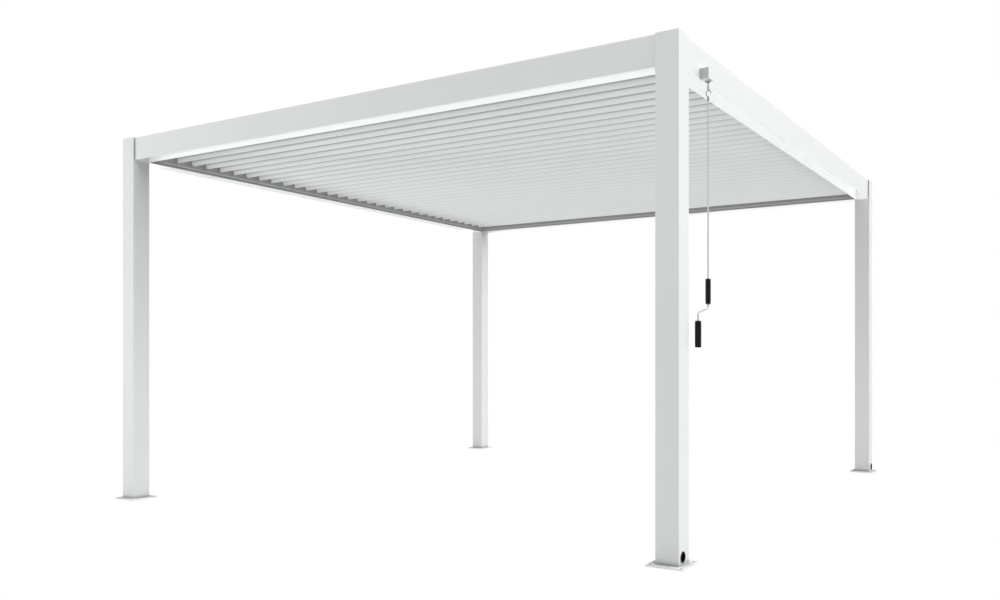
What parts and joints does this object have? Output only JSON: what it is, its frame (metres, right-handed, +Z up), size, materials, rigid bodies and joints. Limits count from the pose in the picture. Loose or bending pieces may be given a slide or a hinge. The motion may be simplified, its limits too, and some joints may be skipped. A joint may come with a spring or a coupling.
{
  "type": "pergola",
  "caption": "Free-standing square pergola on corner posts, with a roof of tilting louvres set in gutter beams and turned by a hanging hand crank.",
  "frame": {"origin": "on the ground under the middle of the roof, at the centre of the base plates' undersides", "axes": "+X along the louvres towards the side that carries the crank, +Y from the front side to the back side, +Z up"},
  "size_m": [4.07, 4.07, 2.401],
  "materials": {
    "frame_white": "satin",
    "cap_white": "satin",
    "plate_white": "satin",
    "louver_white": "satin",
    "gutter_grey": "satin",
    "drain_black": "matte",
    "gearbox_grey": "satin",
    "hook_steel": "satin",
    "sleeve_grey": "satin",
    "rod_grey": "satin",
    "grip_black": "matte"
  },
  "bodies": {
    "frame": {"posts": "frame_white", "post_caps": "cap_white", "base_plates": "plate_white", "drain_outlets": "drain_black", "beams": "frame_white", "gutters": "gutter_grey", "gearbox": "gearbox_grey"},
    "louver_01": {"louver_01": "louver_white"},
    "louver_02": {"louver_02": "louver_white"},
    "louver_03": {"louver_03": "louver_white"},
    "louver_04": {"louver_04": "louver_white"},
    "louver_05": {"louver_05": "louver_white"},
    "louver_06": {"louver_06": "louver_white"},
    "louver_07": {"louver_07": "louver_white"},
    "louver_08": {"louver_08": "louver_white"},
    "louver_09": {"louver_09": "louver_white"},
    "louver_10": {"louver_10": "louver_white"},
    "louver_11": {"louver_11": "louver_white"},
    "louver_12": {"louver_12": "louver_white"},
    "louver_13": {"louver_13": "louver_white"},
    "louver_14": {"louver_14": "louver_white"},
    "louver_15": {"louver_15": "louver_white"},
    "louver_16": {"louver_16": "louver_white"},
    "louver_17": {"louver_17": "louver_white"},
    "louver_18": {"louver_18": "louver_white"},
    "louver_19": {"louver_19": "louver_white"},
    "louver_20": {"louver_20": "louver_white"},
    "louver_21": {"louver_21": "louver_white"},
    "louver_22": {"louver_22": "louver_white"},
    "louver_23": {"louver_23": "louver_white"},
    "louver_24": {"louver_24": "louver_white"},
    "louver_25": {"louver_25": "louver_white"},
    "louver_26": {"louver_26": "louver_white"},
    "louver_27": {"louver_27": "louver_white"},
    "louver_28": {"louver_28": "louver_white"},
    "louver_29": {"louver_29": "louver_white"},
    "louver_30": {"louver_30": "louver_white"},
    "louver_31": {"louver_31": "louver_white"},
    "louver_32": {"louver_32": "louver_white"},
    "crank_eye": {"crank_eye": "hook_steel"},
    "hook_sleeve": {"hook_sleeve": "sleeve_grey"},
    "crank": {"crank_hook": "hook_steel", "crank_rod": "rod_grey"},
    "upper_grip": {"upper_grip": "grip_black"},
    "lower_grip": {"lower_grip": "grip_black"}
  },
  "joints": [
    {"name": "louver_01_tilt", "type": "hinge", "parent": "frame", "child": "louver_01", "pos_m": [0, -1.80265, 2.34], "axis": [-1, 0, 0], "range_deg": [-67, 25]},
    {"name": "louver_02_tilt", "type": "hinge", "parent": "frame", "child": "louver_02", "pos_m": [0, -1.68635, 2.34], "axis": [-1, 0, 0], "range_deg": [-67, 25]},
    {"name": "louver_03_tilt", "type": "hinge", "parent": "frame", "child": "louver_03", "pos_m": [0, -1.57005, 2.34], "axis": [-1, 0, 0], "range_deg": [-67, 25]},
    {"name": "louver_04_tilt", "type": "hinge", "parent": "frame", "child": "louver_04", "pos_m": [0, -1.45375, 2.34], "axis": [-1, 0, 0], "range_deg": [-67, 25]},
    {"name": "louver_05_tilt", "type": "hinge", "parent": "frame", "child": "louver_05", "pos_m": [0, -1.33745, 2.34], "axis": [-1, 0, 0], "range_deg": [-67, 25]},
    {"name": "louver_06_tilt", "type": "hinge", "parent": "frame", "child": "louver_06", "pos_m": [0, -1.22115, 2.34], "axis": [-1, 0, 0], "range_deg": [-67, 25]},
    {"name": "louver_07_tilt", "type": "hinge", "parent": "frame", "child": "louver_07", "pos_m": [0, -1.10485, 2.34], "axis": [-1, 0, 0], "range_deg": [-67, 25]},
    {"name": "louver_08_tilt", "type": "hinge", "parent": "frame", "child": "louver_08", "pos_m": [0, -0.98855, 2.34], "axis": [-1, 0, 0], "range_deg": [-67, 25]},
    {"name": "louver_09_tilt", "type": "hinge", "parent": "frame", "child": "louver_09", "pos_m": [0, -0.87225, 2.34], "axis": [-1, 0, 0], "range_deg": [-67, 25]},
    {"name": "louver_10_tilt", "type": "hinge", "parent": "frame", "child": "louver_10", "pos_m": [0, -0.75595, 2.34], "axis": [-1, 0, 0], "range_deg": [-67, 25]},
    {"name": "louver_11_tilt", "type": "hinge", "parent": "frame", "child": "louver_11", "pos_m": [0, -0.63965, 2.34], "axis": [-1, 0, 0], "range_deg": [-67, 25]},
    {"name": "louver_12_tilt", "type": "hinge", "parent": "frame", "child": "louver_12", "pos_m": [0, -0.52335, 2.34], "axis": [-1, 0, 0], "range_deg": [-67, 25]},
    {"name": "louver_13_tilt", "type": "hinge", "parent": "frame", "child": "louver_13", "pos_m": [0, -0.40705, 2.34], "axis": [-1, 0, 0], "range_deg": [-67, 25]},
    {"name": "louver_14_tilt", "type": "hinge", "parent": "frame", "child": "louver_14", "pos_m": [0, -0.29075, 2.34], "axis": [-1, 0, 0], "range_deg": [-67, 25]},
    {"name": "louver_15_tilt", "type": "hinge", "parent": "frame", "child": "louver_15", "pos_m": [0, -0.17445, 2.34], "axis": [-1, 0, 0], "range_deg": [-67, 25]},
    {"name": "louver_16_tilt", "type": "hinge", "parent": "frame", "child": "louver_16", "pos_m": [0, -0.05815, 2.34], "axis": [-1, 0, 0], "range_deg": [-67, 25]},
    {"name": "louver_17_tilt", "type": "hinge", "parent": "frame", "child": "louver_17", "pos_m": [0, 0.05815, 2.34], "axis": [-1, 0, 0], "range_deg": [-67, 25]},
    {"name": "louver_18_tilt", "type": "hinge", "parent": "frame", "child": "louver_18", "pos_m": [0, 0.17445, 2.34], "axis": [-1, 0, 0], "range_deg": [-67, 25]},
    {"name": "louver_19_tilt", "type": "hinge", "parent": "frame", "child": "louver_19", "pos_m": [0, 0.29075, 2.34], "axis": [-1, 0, 0], "range_deg": [-67, 25]},
    {"name": "louver_20_tilt", "type": "hinge", "parent": "frame", "child": "louver_20", "pos_m": [0, 0.40705, 2.34], "axis": [-1, 0, 0], "range_deg": [-67, 25]},
    {"name": "louver_21_tilt", "type": "hinge", "parent": "frame", "child": "louver_21", "pos_m": [0, 0.52335, 2.34], "axis": [-1, 0, 0], "range_deg": [-67, 25]},
    {"name": "louver_22_tilt", "type": "hinge", "parent": "frame", "child": "louver_22", "pos_m": [0, 0.63965, 2.34], "axis": [-1, 0, 0], "range_deg": [-67, 25]},
    {"name": "louver_23_tilt", "type": "hinge", "parent": "frame", "child": "louver_23", "pos_m": [0, 0.75595, 2.34], "axis": [-1, 0, 0], "range_deg": [-67, 25]},
    {"name": "louver_24_tilt", "type": "hinge", "parent": "frame", "child": "louver_24", "pos_m": [0, 0.87225, 2.34], "axis": [-1, 0, 0], "range_deg": [-67, 25]},
    {"name": "louver_25_tilt", "type": "hinge", "parent": "frame", "child": "louver_25", "pos_m": [0, 0.98855, 2.34], "axis": [-1, 0, 0], "range_deg": [-67, 25]},
    {"name": "louver_26_tilt", "type": "hinge", "parent": "frame", "child": "louver_26", "pos_m": [0, 1.10485, 2.34], "axis": [-1, 0, 0], "range_deg": [-67, 25]},
    {"name": "louver_27_tilt", "type": "hinge", "parent": "frame", "child": "louver_27", "pos_m": [0, 1.22115, 2.34], "axis": [-1, 0, 0], "range_deg": [-67, 25]},
    {"name": "louver_28_tilt", "type": "hinge", "parent": "frame", "child": "louver_28", "pos_m": [0, 1.33745, 2.34], "axis": [-1, 0, 0], "range_deg": [-67, 25]},
    {"name": "louver_29_tilt", "type": "hinge", "parent": "frame", "child": "louver_29", "pos_m": [0, 1.45375, 2.34], "axis": [-1, 0, 0], "range_deg": [-67, 25]},
    {"name": "louver_30_tilt", "type": "hinge", "parent": "frame", "child": "louver_30", "pos_m": [0, 1.57005, 2.34], "axis": [-1, 0, 0], "range_deg": [-67, 25]},
    {"name": "louver_31_tilt", "type": "hinge", "parent": "frame", "child": "louver_31", "pos_m": [0, 1.68635, 2.34], "axis": [-1, 0, 0], "range_deg": [-67, 25]},
    {"name": "louver_32_tilt", "type": "hinge", "parent": "frame", "child": "louver_32", "pos_m": [0, 1.80265, 2.34], "axis": [-1, 0, 0], "range_deg": [-67, 25]},
    {"name": "eye_turn", "type": "hinge", "parent": "frame", "child": "crank_eye", "pos_m": [2.02, -1.702, 2.226], "axis": [0, 0, 1], "range_deg": [-805, 301]},
    {"name": "crank_swing", "type": "hinge", "parent": "frame", "child": "hook_sleeve", "pos_m": [2.02, -1.702, 2.226], "axis": [0, -1, 0], "range_deg": [-45, 45]},
    {"name": "crank_turn", "type": "hinge", "parent": "hook_sleeve", "child": "crank", "pos_m": [2.02, -1.702, 2.226], "axis": [0, 0, 1], "range_deg": [-805, 301]},
    {"name": "upper_grip_spin", "type": "hinge", "parent": "crank", "child": "upper_grip", "pos_m": [2.02, -1.702, 1.244], "axis": [0, 0, 1], "continuous": true},
    {"name": "lower_grip_spin", "type": "hinge", "parent": "crank", "child": "lower_grip", "pos_m": [2.02, -1.8255, 1.04], "axis": [0, 0, 1], "continuous": true}
  ],
  "couplings": [
    {"joint": "louver_02_tilt", "follows": "louver_01_tilt", "ratio": 1},
    {"joint": "louver_03_tilt", "follows": "louver_01_tilt", "ratio": 1},
    {"joint": "louver_04_tilt", "follows": "louver_01_tilt", "ratio": 1},
    {"joint": "louver_05_tilt", "follows": "louver_01_tilt", "ratio": 1},
    {"joint": "louver_06_tilt", "follows": "louver_01_tilt", "ratio": 1},
    {"joint": "louver_07_tilt", "follows": "louver_01_tilt", "ratio": 1},
    {"joint": "louver_08_tilt", "follows": "louver_01_tilt", "ratio": 1},
    {"joint": "louver_09_tilt", "follows": "louver_01_tilt", "ratio": 1},
    {"joint": "louver_10_tilt", "follows": "louver_01_tilt", "ratio": 1},
    {"joint": "louver_11_tilt", "follows": "louver_01_tilt", "ratio": 1},
    {"joint": "louver_12_tilt", "follows": "louver_01_tilt", "ratio": 1},
    {"joint": "louver_13_tilt", "follows": "louver_01_tilt", "ratio": 1},
    {"joint": "louver_14_tilt", "follows": "louver_01_tilt", "ratio": 1},
    {"joint": "louver_15_tilt", "follows": "louver_01_tilt", "ratio": 1},
    {"joint": "louver_16_tilt", "follows": "louver_01_tilt", "ratio": 1},
    {"joint": "louver_17_tilt", "follows": "louver_01_tilt", "ratio": 1},
    {"joint": "louver_18_tilt", "follows": "louver_01_tilt", "ratio": 1},
    {"joint": "louver_19_tilt", "follows": "louver_01_tilt", "ratio": 1},
    {"joint": "louver_20_tilt", "follows": "louver_01_tilt", "ratio": 1},
    {"joint": "louver_21_tilt", "follows": "louver_01_tilt", "ratio": 1},
    {"joint": "louver_22_tilt", "follows": "louver_01_tilt", "ratio": 1},
    {"joint": "louver_23_tilt", "follows": "louver_01_tilt", "ratio": 1},
    {"joint": "louver_24_tilt", "follows": "louver_01_tilt", "ratio": 1},
    {"joint": "louver_25_tilt", "follows": "louver_01_tilt", "ratio": 1},
    {"joint": "louver_26_tilt", "follows": "louver_01_tilt", "ratio": 1},
    {"joint": "louver_27_tilt", "follows": "louver_01_tilt", "ratio": 1},
    {"joint": "louver_28_tilt", "follows": "louver_01_tilt", "ratio": 1},
    {"joint": "louver_29_tilt", "follows": "louver_01_tilt", "ratio": 1},
    {"joint": "louver_30_tilt", "follows": "louver_01_tilt", "ratio": 1},
    {"joint": "louver_31_tilt", "follows": "louver_01_tilt", "ratio": 1},
    {"joint": "louver_32_tilt", "follows": "louver_01_tilt", "ratio": 1},
    {"joint": "eye_turn", "follows": "louver_01_tilt", "ratio": 12},
    {"joint": "crank_turn", "follows": "louver_01_tilt", "ratio": 12}
  ]
}
